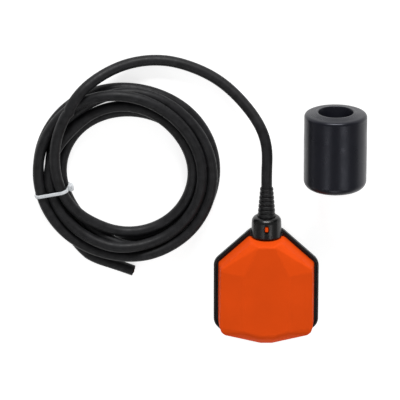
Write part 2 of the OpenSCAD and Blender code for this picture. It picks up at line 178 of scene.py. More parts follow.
def coil_wall(plan):
    """How far from the coil's centre each point of the route may be: inside the coil's CAD solid."""
    flat_angle, flat_spread, flat_depth = 75, 38, 2.4
    slack, coil_reach, nowhere = 0.2, 70, 1e3
    angle = np.degrees(np.arctan2(plan[:, 1] - COIL_CENTRE[1], plan[:, 0] - COIL_CENTRE[0]))
    flattened = flat_depth * np.exp(-((angle - flat_angle) / flat_spread) ** 2)
    room = COIL_OUT_R - CABLE_R + slack - flattened
    from_centre = np.hypot(*(plan[:, :2] - COIL_CENTRE).T)
    return np.where(from_centre < coil_reach, room, nowhere)


def coil_floor(plan):
    """Lowest height of the cable's axis: on the floor, and on the strap where the tie passes under it."""
    strap_gap, ramp = 0.1, 16
    across = math.radians(TIE_ANGLE + 90)
    off_tie = (plan[:, :2] - COIL_CENTRE) @ np.array([math.cos(across), math.sin(across)])
    at_tie = (plan[:, 0] < COIL_CENTRE[0]) * np.exp(-(off_tie / ramp) ** 2)
    return CABLE_R + (STRAP_T + strap_gap) * at_tie


def pushed_apart(p, first, second):
    """Sum of the shifts that part each point from what it touches, and how much it touches, at least 1."""
    n = len(p)
    gap = p[first] - p[second]
    near = (np.abs(gap) < CABLE_D).all(1)
    i, j, gap = first[near], second[near], gap[near]
    length = np.linalg.norm(gap, axis=1)
    hit = length < CABLE_D
    i, j, gap, length = i[hit], j[hit], gap[hit], length[hit]
    part = (0.5 * (CABLE_D - length) / np.maximum(length, 1e-6))[:, None] * gap
    push = np.stack([np.bincount(i, part[:, k], n) - np.bincount(j, part[:, k], n) for k in range(3)], 1)
    touching = np.bincount(i, minlength=n) + np.bincount(j, minlength=n)
    return push, np.maximum(touching, 1)[:, None]


def settled(plan, rounds=260):
    """The route after its turns have pushed each other a diameter apart and come down on each other."""
    neighbours, ease, lead_end_x = 12, 16, -72
    push_gain, drop, pull_back, closing_share = 1.4, 0.06, 0.03, 0.75
    reach_points, kernel_width = 8, 3.2
    n = len(plan)
    order = np.arange(n)
    first, second = np.nonzero(np.triu(order[None] - order[:, None] > neighbours, 1))
    start, end = int(np.argmax(plan[:, 0] < lead_end_x)), n - ease
    free = np.clip(np.minimum((order - start) / ease, (end - order) / ease), 0, 1)[:, None]
    wall = coil_wall(plan)
    floor = coil_floor(plan)
    kernel = np.exp(-0.5 * (np.arange(-reach_points, reach_points + 1) / kernel_width) ** 2)
    kernel /= kernel.sum()
    p = plan.copy()
    for step in range(rounds):
        closing = step > rounds * closing_share
        push, touching = pushed_apart(p, first, second)
        p = p + push_gain * free * push / touching
        if not closing:
            p[:, 2:] -= drop * free
            p[:, :2] += pull_back * free * (plan - p)[:, :2]
        moved = p - plan
        padded = np.pad(moved, ((reach_points, reach_points), (0, 0)), mode="edge")
        smooth = sum(kernel[k] * padded[k:k + n] for k in range(len(kernel)))
        p = plan + moved + (0.3 if closing else 0.5) * free * (smooth - moved)
        p[:, 2] = np.maximum(p[:, 2], floor)
        out = p[:, :2] - COIL_CENTRE
        p[:, :2] = COIL_CENTRE + out * np.minimum(1, wall / np.hypot(*out.T))[:, None]
    return p


CABLE = settled(planned_route())


# ---------- mesh helpers ----------

def mesh_object(name, verts_mm, faces, smooth=True):
    """A new object from vertices in millimetres."""
    mesh = bpy.data.meshes.new(name)
    mesh.from_pydata([tuple(float(c) * MM for c in v) for v in verts_mm], [], faces)
    mesh.validate()
    mesh.update()
    if smooth:
        mesh.polygons.foreach_set("use_smooth", [True] * len(mesh.polygons))
    obj = bpy.data.objects.new(name, mesh)
    bpy.context.scene.collection.objects.link(obj)
    return obj


def ring_quads(rings, around, closed=False, flip=False):
    """Faces between rings that have around vertices each. A closed row joins the last ring to the first."""
    faces = []
    for i in range(rings if closed else rings - 1):
        this, following = i * around, (i + 1) % rings * around
        for k in range(around):
            n = (k + 1) % around
            quad = (this + k, following + k, following + n, this + n)
            faces.append((quad[0], quad[3], quad[2], quad[1]) if flip else quad)
    return faces


def path_length(path):
    """Length of a path in its own unit."""
    return float(np.linalg.norm(np.diff(path, axis=0), axis=1).sum())


def route_frames(path):
    """Direction and two cross directions at each point of a path, turned as little as possible along it."""
    p = np.array(path, float)
    d = np.gradient(p, axis=0)
    d /= np.linalg.norm(d, axis=1)[:, None]
    side = np.cross(d[0], (0, 0, 1))
    if np.linalg.norm(side) < 0.1:
        side = np.cross(d[0], (1, 0, 0))
    sides = []
    for direction in d:
        side = side - direction * (side @ direction)
        side = side / np.linalg.norm(side)
        sides.append(side)
    sides = np.array(sides)
    return d, sides, np.cross(sides, d)


def tube(name, path, radius, around=24, caps=(False, False)):
    """A round tube along a path in millimetres, with a flat cap at either end if asked."""
    p = np.array(path, float)
    side, up = route_frames(p)[1:]
    angles = (2 * math.pi * np.arange(around) / around)[None, :, None]
    rings = p[:, None] + radius * (np.cos(angles) * side[:, None] + np.sin(angles) * up[:, None])
    verts = rings.reshape(-1, 3)
    n = len(p)
    faces = ring_quads(n, around)
    if caps[0]:
        faces.append(tuple(range(around)))
    if caps[1]:
        faces.append(tuple((n - 1) * around + k for k in reversed(range(around))))
    return mesh_object(name, verts, faces)


# ---------- the cord ----------

SPLIT = int(np.argmax(CABLE[:, 1] > BOOT_END_Y + BEND_PIECE_LEN))
BEND_PATH = CABLE[:SPLIT + 1]
CORD_PATH = CABLE[SPLIT:]
INTO_BOOT = np.array((0, 0.6, 0))
cord = tube("power_cable", CORD_PATH, CABLE_R, caps=(False, True))
bend = tube("cable_at_boot", np.vstack([BEND_PATH[0] - INTO_BOOT, BEND_PATH]), CABLE_R)
print("cable length beyond the boot, mm:", round(path_length(CABLE), 1))


# ---------- outlines and solids of the float ----------

def inset(outline, distance):
    """A convex outline, counter-clockwise, with every edge moved inwards."""
    p = np.array(outline, float)
    edge = np.roll(p, -1, axis=0) - p
    normal = np.stack([-edge[:, 1], edge[:, 0]], 1) / np.linalg.norm(edge, axis=1)[:, None]
    level = (normal * p).sum(1) + distance
    before = np.roll(normal, 1, axis=0)
    before_level = np.roll(level, 1)
    corners = zip(before, normal, before_level, level)
    return np.array([np.linalg.solve([a, b], [c, d]) for a, b, c, d in corners])


def rounded(outline, radius, steps=7):
    """A convex outline with its corners turned into arcs."""
    centres = inset(outline, radius)
    edge = np.roll(centres, -1, axis=0) - centres
    angle = np.arctan2(edge[:, 1], edge[:, 0]) - math.pi / 2
    points = []
    for centre, start, end in zip(centres, np.roll(angle, 1), angle):
        sweep = (end - start) % (2 * math.pi)
        for k in range(steps + 1):
            a = start + sweep * k / steps
            points.append(centre + radius * np.array([math.cos(a), math.sin(a)]))
    return np.array(points)


def below(outline, y_max):
    """The part of a convex outline with Y up to y_max."""
    points = []
    for a, b in zip(outline, np.roll(outline, -1, axis=0)):
        if a[1] <= y_max:
            points.append(a)
        if (a[1] - y_max) * (b[1] - y_max) < 0:
            points.append(a + (b - a) * (y_max - a[1]) / (b[1] - a[1]))
    return np.array(points)


def mirrored(right_half):
    """A counter-clockwise outline from its right half, which runs from the tail up."""
    return np.array(list(right_half) + [(-x, y) for x, y in reversed(right_half)], float)


def ball_hull(name, balls):
    """Convex solid round balls (x, y, z, radius): its edges have the balls' roundness."""
    directions = [(math.sin(v) * math.cos(u), math.sin(v) * math.sin(u), math.cos(v))
                  for v in np.linspace(0, math.pi, 15) for u in np.arange(40) * math.pi / 20]
    directions = np.array(directions)
    points = []
    for x, y, z, radius in balls:
        spread = directions * radius if radius > 0 else np.zeros((1, 3))
        points.append(spread + (x, y, z))
    bm = bmesh.new()
    for point in np.unique(np.round(np.vstack(points), 4), axis=0):
        bm.verts.new(point * MM)
    bmesh.ops.convex_hull(bm, input=bm.verts)
    loose = [v for v in bm.verts if not v.link_faces]
    bmesh.ops.delete(bm, geom=loose, context="VERTS")
    bmesh.ops.dissolve_limit(bm, angle_limit=math.radians(0.2), verts=bm.verts, edges=bm.edges)
    mesh = bpy.data.meshes.new(name)
    bm.to_mesh(mesh)
    bm.free()
    mesh.polygons.foreach_set("use_smooth", [True] * len(mesh.polygons))
    obj = bpy.data.objects.new(name, mesh)
    bpy.context.scene.collection.objects.link(obj)
    return obj


def settle_mesh(obj):
    """Applies an object's modifiers."""
    graph = bpy.context.evaluated_depsgraph_get()
    mesh = bpy.data.meshes.new_from_object(obj.evaluated_get(graph))
    obj.modifiers.clear()
    obj.data = mesh


def cut(obj, tool):
    """Takes the tool's volume out of the object and removes the tool."""
    modifier = obj.modifiers.new("cut", "BOOLEAN")
    modifier.operation = "DIFFERENCE"
    modifier.solver = "EXACT"
    modifier.object = tool
    settle_mesh(obj)
    bpy.data.objects.remove(tool)


def even_normals(obj, angle=40):
    """Flat faces look flat and narrow roundings look round; edges sharper than angle stay sharp."""
    obj.data.polygons.foreach_set("use_smooth", [True] * len(obj.data.polygons))
    obj.data.set_sharp_from_angle(angle=math.radians(angle))
    modifier = obj.modifiers.new("normals", "WEIGHTED_NORMAL")
    modifier.keep_sharp = True
    settle_mesh(obj)


RIM_W = REAR_HIGH[0] - REAR_LOW[0]
TAIL_Y = REAR_LOW[1]
FLOAT_T = FRONT_HIGH[2]
# Where the sides turn into the shoulders, where the shoulders would meet the neck, and where the body ends
SHOULDER_Y = 19.3
SHOULDER_TOP_Y = 46
BODY_END_Y = 39.2
RIM_BORDER = 4.6
FRONT_OVER_FOOT = 1.3
FACET_H = 7
WALL = 2.4
DRAFT = 0.8
RIM_LOW_Z, SEAL_LOW_Z, SEAL_TOP_Z, RIM_TOP_Z = 17, 18, 19, 22
CREASE_R = 7
NECK_CREASE_R = 2
LIP_R = 1.7
CAVITY_CREASE_R = 4
CAVITY_LIP_R = 0.6

# Outlines (x, y) of the float, from their right halves: rim, flat panels, feet of the walls and their lips
SIDE_X = RIM_W / 2
LIP_X = SIDE_X - 5
RIM = mirrored([(6.5, TAIL_Y), (31.2, TAIL_Y + 6.2), (SIDE_X, TAIL_Y + 15.4), (SIDE_X, SHOULDER_Y),
                (11.2, SHOULDER_TOP_Y)])
PANEL = mirrored([(5, TAIL_Y + 12.5), (17.2, TAIL_Y + 16.2), (17.2, SHOULDER_Y - 5.5), (7, 37.5)])
FOOT = below(inset(RIM, RIM_BORDER), BODY_END_Y)
FRONT_FOOT = below(inset(RIM, RIM_BORDER - FRONT_OVER_FOOT), BODY_END_Y)
FRONT_LIP = below(mirrored([(4.5, TAIL_Y + 4.1), (SIDE_X - 6.4, TAIL_Y + 11.7), (LIP_X, TAIL_Y + 14.5),
                            (LIP_X, SHOULDER_Y - 2.4), (8.5, SHOULDER_TOP_Y - 4.9)]), BODY_END_Y - 0.6)
BACK_LIP = inset(FOOT, DRAFT)


def body_solid(name, foot_z, foot, lip, shrink=0.0, crease_r=CREASE_R, lip_r=LIP_R, face_z=FLOAT_T):
    """Half of the float's body: flat panel, sloping facets, rounded lip and steep walls down to foot_z."""
    panel_inset, panel_share, lip_share, lip_drop = 1.3, 0.4, 0.35, 0.65
    lip_corner_r, foot_corner_r = 4.2, 3
    up = 1 if face_z > foot_z else -1
    balls = []
    for x, y in inset(PANEL, panel_inset + shrink * panel_share):
        r = crease_r if y < SHOULDER_Y else NECK_CREASE_R
        balls.append((x, y, face_z - up * (r + shrink), r))
    lip_z = face_z - up * (FACET_H + lip_drop * lip_r + shrink * lip_share)
    balls += [(x, y, lip_z, lip_r) for x, y in rounded(inset(lip, shrink + lip_r), lip_corner_r, 6)]
    balls += [(x, y, foot_z, 0) for x, y in rounded(inset(foot, shrink), foot_corner_r)]
    return ball_hull(name, balls)


def hollow_body(name, foot_z, foot, lip, face_z):
    """One half of the float's body with its cavity, which is open at the foot."""
    open_z = foot_z - 1 if face_z > foot_z else foot_z + 1
    body = body_solid(name, foot_z, foot, lip, face_z=face_z)
    cut(body, body_solid("cavity", open_z, foot, lip, WALL, CAVITY_CREASE_R, CAVITY_LIP_R, face_z))
    even_normals(body)
    return body


def make_front():
    """The orange half with its sharp facets."""
    return hollow_body("float_front", SEAL_TOP_Z, FRONT_FOOT, FRONT_LIP, FLOAT_T)


def make_back():
    """The black half, which lies on the floor."""
    return hollow_body("float_back", SEAL_LOW_Z, FOOT, BACK_LIP, 0)


def reach(outline, angle, centre=(0, 0)):
    """Distance from the centre to a convex outline in one direction."""
    p = np.array(outline, float) - centre
    q = np.roll(p, -1, axis=0)
    d = np.array([math.cos(angle), math.sin(angle)])
    cross_p = d[0] * p[:, 1] - d[1] * p[:, 0]
    cross_q = d[0] * q[:, 1] - d[1] * q[:, 0]
    ahead = (cross_p <= 0) & (cross_q > 0)
    k = int(np.argmax(ahead))
    share = cross_p[k] / (cross_p[k] - cross_q[k])
    return float(np.linalg.norm(p[k] + share * (q[k] - p[k])))


def make_rim():
    """Flange round the float: rounded, with a parting groove, and lower right next to the front shell."""
    count, edge_r, gap, recess = 540, 1.3, 0.05, 0.9
    outer, inner, upper = rounded(RIM, 10, 14), rounded(FOOT, 3, 8), rounded(FRONT_FOOT, 3, 8)
    quarter = np.linspace(0, math.pi / 2, 7)
    bead = [(2.3, RIM_TOP_Z - recess), (2.1, RIM_TOP_Z - 0.75), (1.95, RIM_TOP_Z - 0.3), (1.65, RIM_TOP_Z)]
    top = [(edge_r * (1 - math.sin(a)), RIM_TOP_Z - edge_r * (1 - math.cos(a))) for a in quarter]
    groove = [(0, 20.0), (0.3, 19.85), (0.3, 19.65), (0, 19.5)]
    bottom = [(edge_r * (1 - math.cos(a)), RIM_LOW_Z + edge_r * (1 - math.sin(a))) for a in quarter]
    verts = []
    for k in range(count):
        angle = 2 * math.pi * k / count
        out = reach(outer, angle)
        near = reach(inner, angle) + gap
        above = reach(upper, angle) + gap
        ring = [(out - depth, z) for depth, z in bead + top + groove + bottom]
        ring += [(near, RIM_LOW_Z), (near, SEAL_LOW_Z + 0.4)]
        ring += [(above, SEAL_TOP_Z - 0.2), (above, RIM_TOP_Z - recess)]
        verts += [(r * math.cos(angle), r * math.sin(angle), z) for r, z in ring]
    rim = mesh_object("float_rim", verts, ring_quads(count, len(verts) // count, closed=True, flip=True))
    bpy.context.view_layer.update()
    neck_r, neck_y, past_y = 12, BODY_END_Y + 0.3, 60
    cut(rim, spun("pocket", [(0, neck_y), (neck_r, neck_y), (neck_r, past_y), (0, past_y)], 0, AXIS_Z))
    even_normals(rim, 35)
    return rim


# ---------- turned pieces ----------

def filleted(corners, steps=6):
    """A closed profile (radius, along) from corners (radius, along, fillet)."""
    p = np.array([c[:2] for c in corners], float)
    points = []
    for i, corner in enumerate(corners):
        f = corner[2] if len(corner) > 2 else 0
        here, before, after = p[i], p[i - 1], p[(i + 1) % len(p)]
        if f <= 0:
            points.append(here)
            continue
        a = (before - here) / np.linalg.norm(before - here)
        b = (after - here) / np.linalg.norm(after - here)
        half = math.acos(float(np.clip(a @ b, -1, 1))) / 2
        back = f / math.tan(half)
        middle = here + (a + b) / np.linalg.norm(a + b) * f / math.sin(half)
        start, end = here + a * back - middle, here + b * back - middle
        turn = math.atan2(start[0] * end[1] - start[1] * end[0], start @ end)
        for k in range(steps + 1):
            t = turn * k / steps
            points.append(middle + (start[0] * math.cos(t) - start[1] * math.sin(t),
                                    start[0] * math.sin(t) + start[1] * math.cos(t)))
    return points


def spun(name, profile, x, z, around=96):
    """A closed profile (radius, Y) turned about an axis along Y."""
    p = np.array([q[:2] for q in profile], float)
    on_axis = p[:, 0] < 1e-6
    area = 0.5 * float(np.sum(p[:, 0] * np.roll(p[:, 1], -1) - np.roll(p[:, 0], -1) * p[:, 1]))
    verts, index = [], []
    for (r, y), axial in zip(p, on_axis):
        index.append([len(verts)] * around if axial else list(range(len(verts), len(verts) + around)))
        for k in range(1 if axial else around):
            a = 2 * math.pi * k / around
            verts.append((x + r * math.cos(a), y, z + r * math.sin(a)))
    faces = []
    for i in range(len(p)):
        j = (i + 1) % len(p)
        if on_axis[i] and on_axis[j]:
            continue
        for k in range(around):
            n = (k + 1) % around
            quad = [index[i][k], index[i][n], index[j][n], index[j][k]]
            quad = list(dict.fromkeys(quad))
            faces.append(tuple(reversed(quad)) if area > 0 else tuple(quad))
    return mesh_object(name, verts, faces)


COLLAR_END_Y = COLLAR_HIGH[1] + 1.4
COLLAR_END_T = 2.8
BOOT_TIP_Y = BOOT_END_Y + 0.9
BOOT_BASE_R = 6.8
BOOT_TIP_R = 4.95
WINDOW_Y = 48.15


def make_collar():
    """Cap round the neck: a skirt, a rounded shoulder, a mouth for the boot and an oblong window on top."""
    y0, y1, in_r, top_r = COLLAR_LOW[1], COLLAR_END_Y, 10.2, 11
    low_r = (COLLAR_HIGH[0] - COLLAR_LOW[0]) / 2
    mouth_r = BOOT_BASE_R + 0.1
    end_inside_y = y1 - COLLAR_END_T
    collar = spun("collar", filleted([
        (in_r, y0, 0.3), (low_r, y0, 0.9), (low_r - 0.2, y0 + 3.5, 3), (top_r, y1, 3.9),
        (mouth_r + 0.9, y1, 0.4), (mouth_r, y1 - 0.7, 0.4), (mouth_r, end_inside_y), (in_r, end_inside_y)]),
        0, AXIS_Z)
    window_r, window_len = 1.95, 6.0
    ends = [(WINDOW_Y + side * (window_len / 2 - window_r), AXIS_Z + h) for side in (-1, 1) for h in (8, 13)]
    ring = [(window_r * math.cos(a), window_r * math.sin(a)) for a in np.arange(24) * math.pi / 12]
    cut(collar, ball_hull("window", [(dx, y + dy, z, 0) for y, z in ends for dx, dy in ring]))
    even_normals(collar, 45)
    return collar


def make_latch():
    """Tongue of the front shell that shows through the collar's window."""
    half_w, half_len, height, corner_r = 0.75, 1.6, 2.2, 0.6
    top = AXIS_Z + 10.5
    latch = ball_hull("latch", [(side * half_w, y, z, corner_r) for side in (-1, 1)
                                for y in (WINDOW_Y - half_len, WINDOW_Y + half_len)
                                for z in (top - height, top - corner_r)])
    even_normals(latch, 60)
    return latch


def make_boot():
    """Bend relief: a rubber sleeve that tapers to the cable, with a groove between each two ribs."""
    ribs, groove, flange_r, clearance = 6, 1.05, 8.5, 0.05
    first_groove, groove_share, slant = 0.72, 0.38, 0.2
    length = BOOT_TIP_Y - COLLAR_END_Y
    pitch = length / (ribs + 0.7)
    bore = CABLE_R + 0.02
    flange_y = COLLAR_END_Y - COLLAR_END_T - clearance

    def radius(d):
        return BOOT_BASE_R + (BOOT_TIP_R - BOOT_BASE_R) * d / length

    corners = [(bore, BOOT_LOW[1]), (flange_r, BOOT_LOW[1]), (flange_r, flange_y), (BOOT_BASE_R, flange_y),
               (BOOT_BASE_R, COLLAR_END_Y)]
    for i in range(ribs):
        d0 = pitch * (i + first_groove)
        d1 = d0 + pitch * groove_share
        y0 = COLLAR_END_Y + d0
        y1 = COLLAR_END_Y + d1
        floor_r = max(bore + 0.25, radius(d0) - groove)
        corners += [(radius(d0), y0, 0.5), (floor_r, y0 + slant, 0.25), (floor_r, y1 - slant, 0.25),
                    (radius(d1), y1, 0.5)]
    corners += [(BOOT_TIP_R, BOOT_TIP_Y, 0.45), (bore, BOOT_TIP_Y)]
    boot = spun("cable_boot_skin", filleted(corners, 4), 0, AXIS_Z)
    even_normals(boot, 60)
    return boot


def make_weight():
    """Skin of the counterweight: rounded base, end face with turning marks, conical mouth, straight bore."""
    outer_r = (WEIGHT_HIGH[0] - WEIGHT_LOW[0]) / 2
    x, z = (WEIGHT_HIGH[0] + WEIGHT_LOW[0]) / 2, (WEIGHT_HIGH[2] + WEIGHT_LOW[2]) / 2
    y0, y1 = BASE_LOW[1], WEIGHT_HIGH[1]
    bore_r, mouth_r, cone_depth, lip, mouth_edge = 4.8, 13.3, 32, 1.6, 1.1
    mark_half_w, mark_depth, mark_fillet = 0.4, 0.1, 0.1
    slope = lip / (outer_r - mouth_r - mouth_edge)
    turning_marks = []
    for mark_r in (19.4, 18.2, 17, 15.8):
        for off, depth in ((mark_half_w, 0), (0, mark_depth), (-mark_half_w, 0)):
            y = y1 - (mark_r + off - mouth_r - mouth_edge) * slope - depth
            turning_marks.append((mark_r + off, y, mark_fillet))
    profile = [(bore_r, y0, 0.6), (outer_r, y0, 6.5), (outer_r, y1 - lip, 2.6), *turning_marks,
               (mouth_r + mouth_edge, y1, 0.5), (mouth_r, y1, 0.6), (bore_r, y1 - cone_depth, 3)]
    weight = spun("weight_skin", filleted(profile, 10), x, z, around=128)
    core_low, core_high = box_mm("weight_core")
    clearance, tube_r = 0.05, 7.1
    core_r = (core_high[0] - core_low[0]) / 2 + clearance
    back_y = core_low[1] - clearance
    front_y = core_high[1] + clearance
    pocket = [(tube_r, back_y), (core_r, back_y), (core_r, front_y), (mouth_r + 1.5, front_y),
              (tube_r, y1 - cone_depth)]
    cut(weight, spun("pocket", pocket, x, z, around=128))
    even_normals(weight, 60)
    return weight


# ---------- cable tie and cut end ----------

def tie_bundle():
    """Radius and height of each strand in the plane of the tie, and the directions out and along there."""
    a = math.radians(TIE_ANGLE)
    radial = np.array([math.cos(a), math.sin(a)])
    along = np.array([-math.sin(a), math.cos(a)])
    off = (CABLE[:, :2] - COIL_CENTRE) @ along
    out = (CABLE[:, :2] - COIL_CENTRE) @ radial
    height = CABLE[:, 2]
    coil_from, coil_to = 30, 80
    found = []
    for i in range(len(CABLE) - 1):
        if off[i] * off[i + 1] < 0 and coil_from < out[i] < coil_to:
            t = off[i] / (off[i] - off[i + 1])
            found.append((out[i] + t * (out[i + 1] - out[i]), height[i] + t * (height[i + 1] - height[i])))
    return np.array(found), radial, along


def turns_right(a, b, c):
    """Whether the way from a by b to c doesn't turn left."""
    return (b[0] - a[0]) * (c[1] - a[1]) - (b[1] - a[1]) * (c[0] - a[0]) <= 0


def convex(points):
    """Convex outline of points in the plane, counter-clockwise."""
    p = sorted(set(map(tuple, np.round(points, 3))))
    halves = []
    for run in (p, p[::-1]):
        half = []
        for q in run:
            while len(half) > 1 and turns_right(half[-2], half[-1], q):
                half.pop()
            half.append(q)
        halves.append(half[:-1])
    return np.array(halves[0] + halves[1])


def make_strap(centre, inner, outer, radial, along):
    """Nylon strap between two outlines round the strands."""
    count, half, bevel, bevel_side, lowest = 120, STRAP_W / 2, 0.25, 0.35, 0.02
    verts = []
    for k in range(count):
        angle = 2 * math.pi * k / count
        d = np.array([math.cos(angle), math.sin(angle)])
        near = reach(inner, angle, centre)
        far = reach(outer, angle, centre)
        section = [(near, -half), (far - bevel, -half), (far, -half + bevel_side), (far, half - bevel_side),
                   (far - bevel, half), (near, half)]
        for distance, side in section:
            r, z = centre + d * distance
            x, y = COIL_CENTRE + radial * r + along * side
            verts.append((x, y, max(z, lowest)))
    strap = mesh_object("tie_strap", verts, ring_quads(count, len(section), closed=True))
    even_normals(strap, 50)
    return strap


def make_tie():
    """Cable tie pulled tight round the strands, with its ratchet head on the inside of the coil."""
    strands, radial, along = tie_bundle()
    snug_r = CABLE_R + 0.05
    circle = np.array([(math.cos(a), math.sin(a)) for a in np.arange(48) * math.pi / 24])
    inner = convex(np.vstack([c + circle * snug_r for c in strands]))
    outer = convex(np.vstack([c + circle * (snug_r + STRAP_T) for c in strands]))
    centre = strands.mean(0)
    strap = make_strap(centre, inner, outer, radial, along)
    head_r = centre[0] - reach(outer, math.pi, centre) - 1.3
    head_z = 14.0

    def block(name, across, lengthways, heights, corner_r):
        return ball_hull(name, [(*(COIL_CENTRE + radial * (head_r + dr) + along * da), head_z + dz, corner_r)
                                for dr in across for da in lengthways for dz in heights])

    head = block("tie_head", (-1.0, 1.0), (-2.1, 1.1), (-1.9, 1.9), 0.95)
    cut(head, block("slot", (-0.75, 0.75), (-1.3, 1.3), (-1.2, 4), 0))
    even_normals(head, 50)
    end = block("tie_end", (-0.4, 0.4), (-1.05, 1.05), (-1.0, 3.4), 0.12)
    even_normals(end, 50)
    return strap, head, end


def make_cut_end():
    """The three cores at the cable's cut end, a little proud of the jacket, and their copper strands."""
    end = CABLE[-1]
    direction = (CABLE[-1] - CABLE[-3]) / np.linalg.norm(CABLE[-1] - CABLE[-3])
    side = np.cross(direction, (0, 0, 1))
    side /= np.linalg.norm(side)
    up = np.cross(side, direction)
    ring_r, core_r, wire_r, proud, wires_round = 1.75, 1.3, 0.21, 0.35, 6
    wire_from, wire_to = proud + 0.12, proud + 0.2
    cores, wires = [], []
    for k, colour in enumerate(("brown", "blue", "black")):
        a = math.radians(90 + 120 * k)
        centre = end + ring_r * (math.cos(a) * side + math.sin(a) * up)
        core_path = [centre - direction, centre, centre + direction * proud]
        core = tube("core_" + colour, core_path, core_r, 28, (True, True))
        even_normals(core, 45)
        cores.append(core)
        for j in range(wires_round + 1):
            b = math.radians(60 * j)
            out = 0 if j == wires_round else 2.05 * wire_r
            spot = centre + out * (math.cos(b) * side + math.sin(b) * up)
            wire_path = [spot, spot + direction * wire_from, spot + direction * wire_to]
            wires.append(tube("wire", wire_path, wire_r, 10, (True, True)))
    copper = join("copper_strands", wires)
    even_normals(copper, 45)
    return cores, copper


def join(name, objects):
    """One object from several."""
    bm = bmesh.new()
    for obj in objects:
        bm.from_mesh(obj.data)
        bpy.data.objects.remove(obj)
    mesh = bpy.data.meshes.new(name)
    bm.to_mesh(mesh)
    bm.free()
    made = bpy.data.objects.new(name, mesh)
    bpy.context.scene.collection.objects.link(made)
    return made


# ---------- finishes ----------

def finish(name, colour, rough, shift=0.06, shift_size=0.012, rough_shift=0.05, grain_size=0.0006,
           grain_depth=0.00002, second=None, **sockets):
    """A material whose colour and roughness drift over the surface and whose bump has a fine moulded grain.

    shift is the share by which the colour drifts to either side, and second is the lighter colour, if it is
    given. Sizes are in metres. The other values go to the shader's sockets.
    """
    material = bpy.data.materials.new(name)
    material.use_nodes = True
    tree = material.node_tree
    shader = tree.nodes["Principled BSDF"]
    coordinates = tree.nodes.new("ShaderNodeTexCoord")

    def noise(size, detail):
        node = tree.nodes.new("ShaderNodeTexNoise")
        node.inputs["Scale"].default_value = 1 / size
        node.inputs["Detail"].default_value = detail
        tree.links.new(coordinates.outputs["Object"], node.inputs["Vector"])
        return node.outputs["Fac"]

    def spread(value, low, high):
        node = tree.nodes.new("ShaderNodeMapRange")
        node.inputs["From Min"].default_value = 0.3
        node.inputs["From Max"].default_value = 0.7
        node.inputs["To Min"].default_value = low
        node.inputs["To Max"].default_value = high
        tree.links.new(value, node.inputs["Value"])
        return node.outputs["Result"]

    mix = tree.nodes.new("ShaderNodeMix")
    mix.data_type = "RGBA"
    # Sockets 6 and 7 are the mix node's two colours, and output 2 is its mixed colour
    mix.inputs[6].default_value = (*(c * (1 - shift) for c in colour), 1)
    mix.inputs[7].default_value = (*(second or (min(1, c * (1 + shift)) for c in colour)), 1)
    tree.links.new(spread(noise(shift_size, 4), 0, 1), mix.inputs[0])
    tree.links.new(mix.outputs[2], shader.inputs["Base Color"])
    roughness = spread(noise(shift_size * 0.4, 5), rough - rough_shift, rough + rough_shift)
    tree.links.new(roughness, shader.inputs["Roughness"])
    bump = tree.nodes.new("ShaderNodeBump")
    bump.inputs["Strength"].default_value = 1
    bump.inputs["Distance"].default_value = grain_depth
    tree.links.new(noise(grain_size, 3), bump.inputs["Height"])
    tree.links.new(bump.outputs["Normal"], shader.inputs["Normal"])
    for socket, value in sockets.items():
        shader.inputs[socket.replace("_", " ")].default_value = value
    return material


